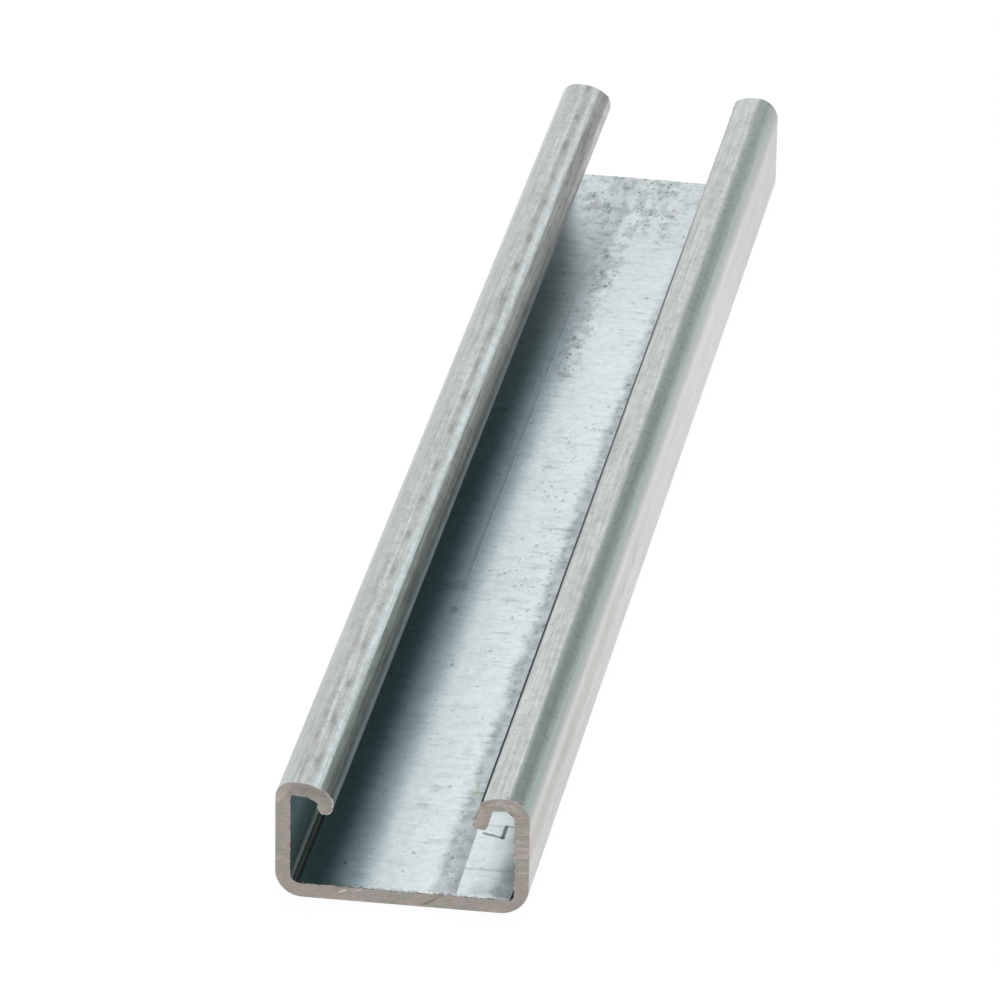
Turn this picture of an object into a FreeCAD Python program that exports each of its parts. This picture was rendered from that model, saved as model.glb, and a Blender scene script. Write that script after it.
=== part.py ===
import FreeCAD, Part
import math
import os

import Sketcher
from FreeCAD import Vector

# A short length of shallow strut channel, in millimetres and degrees.
# It lies on its web with the slot up: X across, Y along the length, Z up,
# and the origin in the middle of the web's underside.
# The two flanges were rolled a little differently, so each has its own sizes.

# Driving dimensions: name, value, what it is
DIMENSIONS = [
    ("channel_length", 300.0, "length of the sawn piece"),
    ("channel_width", 41.3, "over the outside of both walls"),
    ("channel_height", 20.6, "from the web's underside to the top of the lips"),
    ("wall_thickness", 2.5, "strip thickness in the web and the walls"),
    ("left_foot_outer", 4.5, "outer radius between the web and the left wall"),
    ("left_foot_inner", 1.5, "inner radius of the same bend"),
    ("right_foot_outer", 4.8, "outer radius between the web and the right wall"),
    ("right_foot_inner", 0.8, "inner radius of the same bend"),
    ("left_shoulder_inner", 0.4, "inner radius where the left wall turns into its lip"),
    ("left_flat", 1.0, "level part on top of the left lip"),
    ("left_crown_radius", 7.0, "radius of the left lip's fall towards the slot"),
    ("left_crown_turn", 40.0, "angle that the fall turns through"),
    ("left_curl_outer", 2.65, "outer radius of the curl into the slot"),
    ("left_curl_inner", 0.3, "inner radius of the same curl"),
    ("left_lean", 0.0, "lean of the left leg towards the slot, off vertical"),
    ("left_leg", 0.65, "straight part of the left leg"),
    ("left_end_flat", 0.25, "flat left between the rounded edges of the left leg's end"),
    ("left_lip_thickness", 2.45, "strip thickness in the left lip"),
    ("right_shoulder_inner", 1.4, "inner radius where the right wall turns into its lip"),
    ("right_flat", 0.9, "level part on top of the right lip"),
    ("right_crown_radius", 6.0, "radius of the right lip's fall towards the slot"),
    ("right_crown_turn", 28.0, "angle that the fall turns through"),
    ("right_curl_outer", 1.1, "outer radius of the corner into the slot"),
    ("right_curl_inner", 0.5, "inner radius of the same corner"),
    ("right_lean", 17.0, "lean of the right leg towards the slot, off vertical"),
    ("right_leg", 3.65, "straight part of the right leg"),
    ("right_end_flat", 1.3, "flat left between the rounded edges of the right leg's end"),
    ("right_lip_thickness", 2.3, "strip thickness in the right lip"),
]

# Sketch points, and the sketch's own horizontal axis, which starts at its origin
START, END, CENTRE = 1, 2, 3
HORIZONTAL_AXIS = -1


def make_sheet(doc):
    """Write the driving dimensions into the document's spreadsheet."""
    sheet = doc.addObject("Spreadsheet::Sheet", "Dimensions")
    for row, (name, value, meaning) in enumerate(DIMENSIONS, start=1):
        sheet.set(f"A{row}", name)
        sheet.set(f"B{row}", str(value))
        sheet.set(f"C{row}", meaning)
        sheet.setAlias(f"B{row}", name)
    doc.recompute()
    return sheet


def around(centre, radius, turn):
    """Point on a circle, with the turn counted from straight up towards the slot."""
    angle = math.radians(turn)
    return (centre[0] + radius * math.sin(angle), centre[1] - radius * math.cos(angle))


def along(point, lean, distance):
    """Point further down a leg that leans towards the slot."""
    angle = math.radians(lean)
    return (point[0] + distance * math.sin(angle), point[1] + distance * math.cos(angle))


def across(point, lean, distance):
    """Point beside a leg, measured square to it towards the slot."""
    angle = math.radians(lean)
    return (point[0] + distance * math.cos(angle), point[1] - distance * math.sin(angle))


def corner_centre(crown_centre, crown_radius, corner_radius, leg_point, lean):
    """Centre of the arc that touches the crown from within and the leg's face."""
    beside = across(leg_point, lean, -corner_radius)
    gap_x = beside[0] - crown_centre[0]
    gap_y = beside[1] - crown_centre[1]
    down_x = math.sin(math.radians(lean))
    down_y = math.cos(math.radians(lean))
    half = gap_x * down_x + gap_y * down_y
    rest = gap_x ** 2 + gap_y ** 2 - (crown_radius - corner_radius) ** 2
    return along(beside, lean, -half - math.sqrt(half ** 2 - rest))


def lip_outline(size, side):
    """Outline of one lip from the wall's outer face round to its inner face.

    Points are pairs: distance in from the wall's outer face, depth under the top.
    """
    wall = size("wall_thickness")
    thickness = size(side + "_lip_thickness")
    shoulder_inner = size(side + "_shoulder_inner")
    shoulder_outer = shoulder_inner + wall
    crown_radius = size(side + "_crown_radius")
    crown_turn = size(side + "_crown_turn")
    curl_outer = size(side + "_curl_outer")
    curl_inner = size(side + "_curl_inner")
    tip = (thickness - size(side + "_end_flat")) / 2.0
    lean = size(side + "_lean")
    leg_turn = 90.0 - lean

    crown_start = shoulder_outer + size(side + "_flat")
    crown_centre = (crown_start, crown_radius)
    curl_centre = around(crown_centre, crown_radius - curl_outer, crown_turn)
    leg_top = around(curl_centre, curl_outer, leg_turn)
    leg_end = along(leg_top, lean, size(side + "_leg"))
    slot_tip_centre = across(leg_end, lean, -tip)
    inner_tip_centre = across(leg_end, lean, tip - thickness)
    inner_leg_end = across(leg_end, lean, -thickness)

    inner_crown_radius = crown_radius - thickness
    bend_centre = corner_centre(crown_centre, inner_crown_radius, curl_inner, inner_leg_end, lean)
    inner_crown_turn = math.degrees(math.atan2(
        bend_centre[0] - crown_centre[0], crown_centre[1] - bend_centre[1]))

    return [
        ("shoulder", (shoulder_outer, shoulder_outer), shoulder_outer, -90.0, 0.0),
        ("top", (shoulder_outer, 0.0), (crown_start, 0.0)),
        ("crown", crown_centre, crown_radius, 0.0, crown_turn),
        ("curl", curl_centre, curl_outer, crown_turn, leg_turn),
        ("leg", leg_top, leg_end),
        ("slot_tip", slot_tip_centre, tip, leg_turn, leg_turn + 90.0),
        ("end", around(slot_tip_centre, tip, leg_turn + 90.0),
         around(inner_tip_centre, tip, leg_turn + 90.0)),
        ("inner_tip", inner_tip_centre, tip, leg_turn + 90.0, leg_turn + 180.0),
        ("inner_leg", inner_leg_end, around(bend_centre, curl_inner, leg_turn)),
        ("inner_curl", bend_centre, curl_inner, leg_turn, inner_crown_turn),
        ("inner_crown", crown_centre, inner_crown_radius, inner_crown_turn, 0.0),
        ("under_top", (crown_start, thickness), (shoulder_outer, thickness)),
        ("inner_shoulder", (shoulder_outer, thickness + shoulder_inner), shoulder_inner, 0.0, -90.0),
    ]


def wall_outline(size, side):
    """Outline of one wall outside its lip: the foot bend and the outer face."""
    height = size("channel_height")
    foot = size(side + "_foot_outer")
    shoulder = size(side + "_shoulder_inner") + size("wall_thickness")
    return [
        ("foot", (foot, height - foot), foot, 180.0, 270.0),
        ("wall", (0.0, height - foot), (0.0, shoulder)),
    ]


def inner_wall_outline(size, side):
    """Outline of one wall inside the channel: the inner face and its foot bend."""
    wall = size("wall_thickness")
    floor = size("channel_height") - wall
    foot = size(side + "_foot_inner")
    under_lip = size(side + "_lip_thickness") + size(side + "_shoulder_inner")
    return [
        ("inner_wall", (wall, under_lip), (wall, floor - foot)),
        ("inner_foot", (wall + foot, floor - foot), foot, 270.0, 180.0),
    ]


class Section:
    """The closed section in a sketch, joined piece by piece with tangent ends."""

    def __init__(self, sketch, size):
        self.sketch = sketch
        self.size = size
        self.pieces = {}
        self.rules = []
        self.drives = []

    def place(self, side, pair):
        """Turn a pair (in from the wall, down from the top) into a sketch point."""
        sign = -1.0 if side == "left" else 1.0
        half_width = self.size("channel_width") / 2.0
        return Vector(sign * (half_width - pair[0]), self.size("channel_height") - pair[1], 0.0)

    def add(self, side, piece):
        """Add a straight piece or an arc, and note which of its ends comes first."""
        name = side + "_" + piece[0]
        if len(piece) == 3:
            shape = Part.LineSegment(self.place(side, piece[1]), self.place(side, piece[2]))
            ends = (START, END)
        else:
            shape, ends = self.arc(side, *piece[1:])
        self.pieces[name] = (self.sketch.addGeometry(shape, False),) + ends
        return name

    def arc(self, side, centre, radius, turn_from, turn_to):
        """An arc, which a sketch always stores counter-clockwise."""
        sign = -1.0 if side == "left" else 1.0
        circle = Part.Circle(self.place(side, centre), Vector(0.0, 0.0, 1.0), radius)
        angle_from = math.radians(90.0 + sign * turn_from)
        angle_to = math.radians(90.0 + sign * turn_to)
        if angle_to > angle_from:
            return Part.ArcOfCircle(circle, angle_from, angle_to), (START, END)
        return Part.ArcOfCircle(circle, angle_to, angle_from), (END, START)

    def number(self, name):
        return self.pieces[name][0]

    def first_end(self, name):
        return self.pieces[name][0], self.pieces[name][1]

    def last_end(self, name):
        return self.pieces[name][0], self.pieces[name][2]

    def rule(self, kind, *numbers):
        """Keep a constraint that has no size."""
        self.rules.append(Sketcher.Constraint(kind, *numbers))

    def drive(self, label, expression, kind, *numbers):
        """Keep a named dimension, with the expression that binds it to the spreadsheet."""
        self.drives.append((label, expression, Sketcher.Constraint(kind, *numbers)))

    def join(self, before, after):
        """Make one piece run smoothly into the next."""
        self.rule("Tangent", *self.last_end(before), *self.first_end(after))

    def bridge(self, name, left, right):
        """Add the straight piece that runs from one side's end to the other's."""
        line = Part.LineSegment(self.sketch.getPoint(*left), self.sketch.getPoint(*right))
        number = self.sketch.addGeometry(line, False)
        self.pieces[name] = (number, START, END)
        self.rule("Horizontal", number)
        self.rule("Tangent", *left, number, START)
        self.rule("Tangent", number, END, *right)

    def radius(self, name, expression):
        number = self.number(name)
        value = self.sketch.Geometry[number].Radius
        self.drive(name + "_radius", expression, "Radius", number, value)

    def length(self, name, expression):
        number = self.number(name)
        value = self.sketch.Geometry[number].length()
        self.drive(name + "_length", expression, "Distance", number, value)

    def apply(self):
        """Give the sketch all its constraints, then bind the dimensions."""
        self.sketch.addConstraint(self.rules + [drive[2] for drive in self.drives])
        for place, (label, _, _) in enumerate(self.drives, start=len(self.rules)):
            self.sketch.renameConstraint(place, label)
        for label, expression, _ in self.drives:
            self.sketch.setExpression("Constraints." + label, expression)


def draw_side(section, side):
    """Draw one wall and its lip, from the foot bend round to the inner foot bend."""
    size = section.size
    pieces = wall_outline(size, side) + lip_outline(size, side) + inner_wall_outline(size, side)
    names = [section.add(side, piece) for piece in pieces]
    for before, after in zip(names, names[1:]):
        section.join(before, after)


def draw_web(section):
    """Draw both faces of the web between the two sides, and dimension them."""
    section.bridge("web_under", section.first_end("left_foot"), section.first_end("right_foot"))
    section.bridge("web_top", section.last_end("left_inner_foot"), section.last_end("right_inner_foot"))
    section.rule("PointOnObject", section.number("web_under"), START, HORIZONTAL_AXIS)
    section.drive("web_gauge", "Dimensions.wall_thickness", "DistanceY",
                  HORIZONTAL_AXIS, START, section.number("web_top"), START,
                  section.size("wall_thickness"))


def hold_wall(section, side):
    """Dimension one wall and its foot bend."""
    sheet = "Dimensions."
    outer = (section.number(side + "_wall"), START)
    inner = (section.number(side + "_inner_wall"), START)
    axis = (HORIZONTAL_AXIS, START)
    section.rule("Vertical", outer[0])
    section.rule("Vertical", inner[0])
    section.radius(side + "_foot", sheet + side + "_foot_outer")
    section.radius(side + "_inner_foot", sheet + side + "_foot_inner")
    to_axis = outer + axis if side == "left" else axis + outer
    gauge = outer + inner if side == "left" else inner + outer
    section.drive(side + "_half_width", sheet + "channel_width / 2", "DistanceX",
                  *to_axis, section.size("channel_width") / 2.0)
    section.drive(side + "_wall_gauge", sheet + "wall_thickness", "DistanceX",
                  *gauge, section.size("wall_thickness"))


def hold_lip(section, side):
    """Dimension one lip."""
    sheet = "Dimensions."
    size = section.size
    top = section.number(side + "_top")
    under_top = section.number(side + "_under_top")
    crown = section.number(side + "_crown")
    leg = section.number(side + "_leg")
    end_flat = sheet + side + "_end_flat"
    gauge = sheet + side + "_lip_thickness"
    shoulder = sheet + side + "_shoulder_inner"

    section.rule("Horizontal", top)
    section.rule("Horizontal", under_top)
    section.rule("Perpendicular", leg, section.number(side + "_end"))
    section.rule("Parallel", leg, section.number(side + "_inner_leg"))
    section.rule("Equal", section.number(side + "_slot_tip"), section.number(side + "_inner_tip"))
    section.rule("Coincident", crown, CENTRE, section.number(side + "_inner_crown"), CENTRE)

    section.radius(side + "_shoulder", shoulder + " + " + sheet + "wall_thickness")
    section.radius(side + "_inner_shoulder", shoulder)
    section.radius(side + "_crown", sheet + side + "_crown_radius")
    section.radius(side + "_curl", sheet + side + "_curl_outer")
    section.radius(side + "_inner_curl", sheet + side + "_curl_inner")
    section.length(side + "_top", sheet + side + "_flat")
    section.length(side + "_leg", sheet + side + "_leg")
    section.length(side + "_end", end_flat)
    section.drive(side + "_slot_tip_radius", f"({gauge} - {end_flat}) / 2", "Radius",
                  section.number(side + "_slot_tip"),
                  (size(side + "_lip_thickness") - size(side + "_end_flat")) / 2.0)
    section.drive(side + "_height", sheet + "channel_height", "DistanceY",
                  HORIZONTAL_AXIS, START, top, START, size("channel_height"))
    section.drive(side + "_lip_gauge", gauge, "DistanceY",
                  under_top, START, top, START, size(side + "_lip_thickness"))
    section.drive(side + "_crown_turn", sheet + side + "_crown_turn", "Angle",
                  crown, math.radians(size(side + "_crown_turn")))

    lean = size(side + "_lean")
    if side == "left":
        section.drive("left_heading", sheet + "left_lean - 90", "Angle",
                      leg, math.radians(lean - 90.0))
    else:
        section.drive("right_heading", "-90 - " + sheet + "right_lean", "Angle",
                      leg, math.radians(-90.0 - lean))


def plane(body, role):
    """One of the body's own origin planes."""
    return next(item for item in body.Origin.OriginFeatures if item.Role == role)


def make_channel(doc, size):
    """The rolled strip: its section, drawn across the channel, run along the length."""
    body = doc.addObject("PartDesign::Body", "Channel")
    body.Label = "channel"
    body.Placement = FreeCAD.Placement(Vector(0.0, 0.0, 0.0), FreeCAD.Rotation())

    sketch = body.newObject("Sketcher::SketchObject", "ChannelSection")
    sketch.AttachmentSupport = (plane(body, "XZ_Plane"), [""])
    sketch.MapMode = "FlatFace"

    section = Section(sketch, size)
    for side in ("left", "right"):
        draw_side(section, side)
        hold_wall(section, side)
        hold_lip(section, side)
    draw_web(section)
    section.apply()

    pad = body.newObject("PartDesign::Pad", "ChannelLength")
    pad.Profile = sketch
    pad.SideType = "Symmetric"
    pad.Length = size("channel_length")
    pad.setExpression("Length", "Dimensions.channel_length")
    return body, sketch


def check_sketch(sketch):
    """Stop if the section is loose, over-dimensioned or unsolved."""
    faults = list(sketch.ConflictingConstraints) + list(sketch.RedundantConstraints)
    if sketch.solve() != 0 or sketch.DoF != 0 or faults:
        raise RuntimeError(f"section: {sketch.DoF} free, faults {faults}")


def check_document(doc, bodies):
    """Stop if an object failed to recompute or a sub-part has no good shape."""
    for item in doc.Objects:
        if "Invalid" in item.State or "Error" in item.State:
            raise RuntimeError(f"{item.Label} failed: {item.State}")
    for body in bodies:
        if body.Shape.isNull() or not body.Shape.isValid():
            raise RuntimeError(f"{body.Label} has no valid shape")


def main():
    os.makedirs("parts", exist_ok=True)
    doc = FreeCAD.newDocument("StrutChannel")
    sheet = make_sheet(doc)

    def size(name):
        return float(sheet.get(name))

    channel, section_sketch = make_channel(doc, size)
    doc.recompute()
    check_sketch(section_sketch)
    check_document(doc, [channel])
    channel.Shape.exportStep(os.path.join("parts", channel.Label + ".step"))

    box = channel.Shape.BoundBox
    print(f"channel {box.XLength:.2f} x {box.YLength:.2f} x {box.ZLength:.2f} mm,",
          f"volume {channel.Shape.Volume:.0f} mm3")


main()
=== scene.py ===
"""Looks of a galvanised strut channel: zinc skin, sawn ends, pale studio floor, camera."""

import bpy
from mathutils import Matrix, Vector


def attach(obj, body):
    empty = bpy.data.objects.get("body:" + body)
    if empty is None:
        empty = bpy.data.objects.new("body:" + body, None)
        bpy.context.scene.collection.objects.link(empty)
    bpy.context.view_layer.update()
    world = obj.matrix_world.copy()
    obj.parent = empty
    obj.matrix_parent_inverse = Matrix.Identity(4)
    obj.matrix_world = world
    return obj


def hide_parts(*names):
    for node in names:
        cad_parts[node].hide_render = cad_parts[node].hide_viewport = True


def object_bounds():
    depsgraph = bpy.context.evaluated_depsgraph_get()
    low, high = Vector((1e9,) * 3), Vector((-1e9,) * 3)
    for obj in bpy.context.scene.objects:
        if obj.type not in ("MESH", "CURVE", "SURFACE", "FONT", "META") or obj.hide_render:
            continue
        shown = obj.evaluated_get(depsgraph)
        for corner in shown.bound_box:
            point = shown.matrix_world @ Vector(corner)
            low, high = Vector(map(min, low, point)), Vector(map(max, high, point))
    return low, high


bl_info = {
    "name": "Strut channel",
    "version": (1, 0, 0),
    "blender": (4, 5, 0),
    "location": "3D View > Sidebar > Strut channel",
    "description": "Dresses a rolled strut channel in worn zinc with raw sawn ends",
    "category": "Object",
}

import math

import bpy
import numpy as np
from mathutils import Vector, noise

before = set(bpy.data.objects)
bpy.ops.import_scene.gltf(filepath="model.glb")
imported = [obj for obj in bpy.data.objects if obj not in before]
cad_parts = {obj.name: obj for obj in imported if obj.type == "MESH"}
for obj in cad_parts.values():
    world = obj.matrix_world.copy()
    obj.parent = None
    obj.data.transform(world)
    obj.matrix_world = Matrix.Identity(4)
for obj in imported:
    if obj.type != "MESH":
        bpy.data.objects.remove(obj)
CAD_LOW, CAD_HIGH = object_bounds()
MM = 0.001
HALF_LENGTH = CAD_HIGH.y
HEIGHT = CAD_HIGH.z

# Material slots of the skin
OUTSIDE, SAWN, WEB, DULL_SHADED = range(4)

# Limits on the section, in millimetres from its middle and from the floor
CURL_START = -13.3
SLOT_RIGHT = 13.2
SLOT_LOW = 14.0
CROWN_LOW = 19.95
INNER_WALL = 18.4
OUTER_WALL = 20.6
UNDER_LIPS = 18.6
WEB_TOP = 2.5

# Faces of the skin, in millimetres: plain columns and rows, finer ones on the frayed strip at a cut
COLUMN = 3.6
ROW = 4.0
RAG = 0.5
FRAYED = 0.4

# Waves in the rolled sheet, per metre along each axis
SWELLS = (60, 40, 60)
DENTS = (170, 130, 170)

# Saw cuts: slope of the near one, length that follows their lean, share of the burr on the walls
NEAR_CUT_SLOPE = 0.00767
SAWN_REACH = 6.0
WALL_BURR = 0.4

# Burrs on the near cut: place across, height, reach, how far they stand out, in millimetres
NEAR_BURRS = (
    (-12.6, 18.9, 1.3, 0.12),
    (-11.5, 17.4, 1.3, 0.13),
    (17.6, 17.7, 1.1, 0.28),
    (-9.4, 2.5, 0.9, 0.10),
    (2.5, 2.5, 0.8, 0.08),
    (6.8, 2.5, 0.7, 0.08),
)

# Depth of the finish and of the saw marks, in metres; a colour Mix node's sockets
RELIEF_DEPTH = 0.00006
SAW_MARK_DEPTH = 0.00008
COLOUR_MIX_INPUTS = (0, 6, 7)
COLOUR_MIX_OUTPUT = 2

# Stage, in metres
WHITE = (1, 1, 1)
SKY_COLOUR = (0.95, 0.98, 1.0)
SKY_STRENGTH = 0.55
FLOOR_SIZE = 8.0
FLOOR_GAP = 0.00002
FLOOR_GLOW = 1.12
FLOOR_GLOW_SHARE = 0.8
SOFTBOX_PLACE = (0.1, 0.2, 1.4)
SOFTBOX_SIZE = 1.2
SENSOR_WIDTH = 36.0


# Settings shown in the panel


class StrutCutSettings(bpy.types.PropertyGroup):
    near_cut_across: bpy.props.FloatProperty(
        name="Near cut, across",
        description="How far the near saw cut runs out of square over the width",
        default=math.atan(NEAR_CUT_SLOPE),
        subtype="ANGLE",
        unit="ROTATION",
    )
    near_cut_upright: bpy.props.FloatProperty(
        name="Near cut, upright",
        description="How far the near saw cut leans over the height",
        default=math.atan(-0.0052),
        subtype="ANGLE",
        unit="ROTATION",
    )
    far_cut_across: bpy.props.FloatProperty(
        name="Far cut, across",
        description="How far the far saw cut runs out of square over the width",
        default=math.atan(-0.0171),
        subtype="ANGLE",
        unit="ROTATION",
    )
    far_cut_upright: bpy.props.FloatProperty(
        name="Far cut, upright",
        description="How far the far saw cut leans over the height",
        default=math.atan(0.0334),
        subtype="ANGLE",
        unit="ROTATION",
    )
    burr: bpy.props.FloatProperty(
        name="Burr",
        description="Height of the ragged edge that the saw leaves",
        default=0.0003,
        min=0.0,
        unit="LENGTH",
    )
    waviness: bpy.props.FloatProperty(
        name="Waviness",
        description="How far the rolled sheet dips below its true faces",
        default=0.00005,
        min=0.0,
        unit="LENGTH",
    )


class StrutFinishSettings(bpy.types.PropertyGroup):
    zinc: bpy.props.FloatVectorProperty(
        name="Zinc",
        description="Colour of the clean zinc on the web",
        default=(0.775, 0.855, 0.875),
        min=0.0,
        max=1.0,
        subtype="COLOR",
    )
    lip_zinc: bpy.props.FloatVectorProperty(
        name="Lip zinc",
        description="Colour of the zinc rubbed by the rolls on top of the lips",
        default=(0.615, 0.66, 0.665),
        min=0.0,
        max=1.0,
        subtype="COLOR",
    )
    wall_zinc: bpy.props.FloatVectorProperty(
        name="Wall zinc",
        description="Colour of the zinc on the outside of the walls",
        default=(0.74, 0.735, 0.72),
        min=0.0,
        max=1.0,
        subtype="COLOR",
    )
    # Painted dark reflection on the bends, used for the right shoulder and the left lip's curl
    painted_bend_reflection: bpy.props.FloatVectorProperty(
        name="Bend zinc",
        description="Colour of the dull zinc stretched over the bends",
        default=(0.21, 0.255, 0.25),
        min=0.0,
        max=1.0,
        subtype="COLOR",
    )
    # Painted shade inside the walls and under the lips
    painted_pocket_shade: bpy.props.FloatVectorProperty(
        name="Pocket zinc",
        description="Colour of the dull zinc inside the walls",
        default=(0.09, 0.125, 0.125),
        min=0.0,
        max=1.0,
        subtype="COLOR",
    )
    sawn_steel: bpy.props.FloatVectorProperty(
        name="Sawn steel",
        description="Colour of the raw steel that the saw laid bare",
        default=(0.372, 0.335, 0.300),
        min=0.0,
        max=1.0,
        subtype="COLOR",
    )


class StrutStageSettings(bpy.types.PropertyGroup):
    camera_place: bpy.props.FloatVectorProperty(
        name="Camera place",
        description="Where the camera stands",
        default=(0.21619, -1.45528, 0.68371),
        subtype="TRANSLATION",
        unit="LENGTH",
        precision=5,
    )
    camera_turn: bpy.props.FloatVectorProperty(
        name="Camera turn",
        description="Which way the camera looks",
        default=(math.radians(65.1845), math.radians(-0.8248), math.radians(9.1442)),
        subtype="EULER",
        unit="ROTATION",
    )
    lens: bpy.props.FloatProperty(
        name="Lens",
        description="Focal length on a 36 mm sensor, in millimetres",
        default=333.78,
        min=1.0,
    )
    floor_colour: bpy.props.FloatVectorProperty(
        name="Floor",
        description="Colour of the floor",
        default=(0.93, 0.93, 0.93),
        min=0.0,
        max=1.0,
        subtype="COLOR",
    )
    key_power: bpy.props.FloatProperty(
        name="Overhead softbox",
        description="Power of the softbox over the channel",
        default=3.0,
        min=0.0,
        unit="POWER",
    )


# Small helpers for objects and meshes


def deselect_all():
    """Leaves object mode with nothing selected."""
    if bpy.context.mode != "OBJECT":
        bpy.ops.object.mode_set(mode="OBJECT")
    bpy.ops.object.select_all(action="DESELECT")


def only(piece):
    """Selects one object alone and makes it active."""
    deselect_all()
    piece.select_set(True)
    bpy.context.view_layer.objects.active = piece


def rows(parts, name):
    """One vector of every face or vertex, such as its normal, one row each."""
    flat = np.zeros(len(parts) * 3)
    parts.foreach_get(name, flat)
    return flat.reshape(-1, 3)


def pick_faces(piece, chosen):
    """Selects the faces marked True, in object mode."""
    mesh = piece.data
    mesh.vertices.foreach_set("select", np.zeros(len(mesh.vertices), bool))
    mesh.edges.foreach_set("select", np.zeros(len(mesh.edges), bool))
    mesh.polygons.foreach_set("select", chosen)


def slice_piece(piece, place, normal, chosen=None):
    """Cuts the chosen faces, or all of them, through by a plane."""
    if chosen is None:
        chosen = np.ones(len(piece.data.polygons), bool)
    pick_faces(piece, chosen)
    bpy.ops.object.mode_set(mode="EDIT")
    bpy.ops.mesh.select_mode(type="FACE")
    bpy.ops.mesh.bisect(plane_co=place, plane_no=normal)
    bpy.ops.object.mode_set(mode="OBJECT")


def close_to_cuts(piece, reach):
    """Marks the faces that lie within a reach of either sawn end."""
    return np.abs(rows(piece.data.polygons, "center")[:, 1]) > HALF_LENGTH - reach


# The channel's skin


def copy_of_channel():
    """A merged copy of the channel's CAD mesh with long plain strips for faces."""
    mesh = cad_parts["channel"].data.copy()
    mesh.name = "channel_skin"
    mesh.materials.clear()
    skin = bpy.data.objects.new("channel_skin", mesh)
    bpy.context.scene.collection.objects.link(skin)
    only(skin)
    bpy.ops.object.mode_set(mode="EDIT")
    bpy.ops.mesh.select_mode(type="VERT")
    bpy.ops.mesh.select_all(action="SELECT")
    bpy.ops.mesh.remove_doubles(threshold=0.000001)
    bpy.ops.mesh.customdata_custom_splitnormals_clear()
    bpy.ops.mesh.select_all(action="SELECT")
    bpy.ops.mesh.dissolve_limited(angle_limit=math.radians(0.3))
    bpy.ops.object.mode_set(mode="OBJECT")
    return skin


def frame_cuts(skin):
    """A narrow frame of faces round each sawn face, for its burred edge."""
    pick_faces(skin, close_to_cuts(skin, 0.01 * MM))
    bpy.ops.object.mode_set(mode="EDIT")
    bpy.ops.mesh.select_mode(type="FACE")
    bpy.ops.mesh.inset(thickness=0.2 * MM, use_even_offset=True)
    bpy.ops.object.mode_set(mode="OBJECT")


def cut_rings(skin):
    """Rings round the section: close together at the saw cuts, further apart between."""
    centres = rows(skin.data.polygons, "center")
    crown = (centres[:, 0] < -12.5 * MM) & (centres[:, 2] > 18.5 * MM)
    slice_piece(skin, (CURL_START * MM, 0, 0), (1, 0, 0), crown)
    frame_cuts(skin)
    for gap in (0.15, 0.45, 1.0):
        for end in (-1, 1):
            slice_piece(skin, (0, end * (HALF_LENGTH - gap * MM), 0), (0, 1, 0))
    for k in range(-5, 6):
        slice_piece(skin, (k * COLUMN * MM, 0, 0), (1, 0, 0))
    for k in range(1, 5):
        slice_piece(skin, (0, 0, k * ROW * MM), (0, 0, 1))
    for k in range(-40, 41):
        slice_piece(skin, ((k * RAG + 0.17) * MM, 0, 0), (1, 0, 0), close_to_cuts(skin, FRAYED * MM))
    for k in range(0, 41):
        slice_piece(skin, (0, 0, (k * RAG + 0.23) * MM), (0, 0, 1), close_to_cuts(skin, FRAYED * MM))
    ring = 2.4 * MM
    while ring < HALF_LENGTH:
        for end in (-1, 1):
            slice_piece(skin, (0, end * (HALF_LENGTH - ring), 0), (0, 1, 0))
        ring += min(COLUMN * MM, 1.3 * MM + 0.2 * ring)
    slice_piece(skin, (0, 0, 0), (0, 1, 0))


def mark_parts(skin):
    """Gives their materials to the outside, the sawn faces, the web and the dull inside with its
    painted shade.
    """
    mesh = skin.data
    x, y, z = (rows(mesh.polygons, "center") / MM).T
    level = rows(mesh.polygons, "normal")[:, 2] > 0.99
    on_cut = np.abs(y) > HALF_LENGTH / MM - 0.01
    web = (np.abs(z - WEB_TOP) < 0.05) & level
    inside = (np.abs(x) < INNER_WALL) & (z > WEB_TOP - 0.05) & (z < UNDER_LIPS)
    slot_side = (x > CURL_START) & (x < SLOT_RIGHT) & (z > SLOT_LOW) & (z < CROWN_LOW)
    parts = np.select([on_cut, web, inside | slot_side], [SAWN, WEB, DULL_SHADED], OUTSIDE)
    mesh.polygons.foreach_set("material_index", parts.astype(np.int32))
    mesh.update()


def wave_sheet(skin, depth):
    """Lets the faces dip a little below their true place, as rolled strip does."""
    mesh = skin.data
    normals = rows(mesh.vertices, "normal")
    places = rows(mesh.vertices, "co")
    for k, place in enumerate(places):
        dents = Vector(place * DENTS) + Vector((3, 7, 1))
        dip = 0.6 * noise.noise(Vector(place * SWELLS)) + 0.4 * noise.noise(dents)
        edge = min(1.0, (HALF_LENGTH - abs(place[1])) / (2 * MM))
        places[k] -= normals[k] * depth * (0.5 + 0.5 * dip) * edge
    mesh.vertices.foreach_set("co", places.ravel())
    mesh.update()


def edge_lift(x, y, z, burr):
    """How far the rim of a saw cut stands out at one point, in metres."""
    rag = noise.noise(Vector((x * 1.7, y, z * 1.7)))
    fine = noise.noise(Vector((x * 4.3 + 9, y, z * 4.3)))
    hidden = abs(x) < INNER_WALL and WEB_TOP - 0.2 < z < UNDER_LIPS - 0.2
    slot_side = CURL_START < x < SLOT_RIGHT and z > SLOT_LOW
    if not (hidden or slot_side):
        return -0.2 * burr * (1.0 + 0.4 * fine)
    lift = max(0.0, rag * 0.5 + fine * 0.5 - 0.1) * burr
    if abs(x) > INNER_WALL - 0.9:
        lift *= WALL_BURR
    if y < 0:
        for across, height, reach, out in NEAR_BURRS:
            away = math.hypot(x - across, z - height) / reach
            if away < 1:
                lift += out * MM * (1 - away * away) * (1.0 + 0.8 * fine)
    return lift


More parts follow.
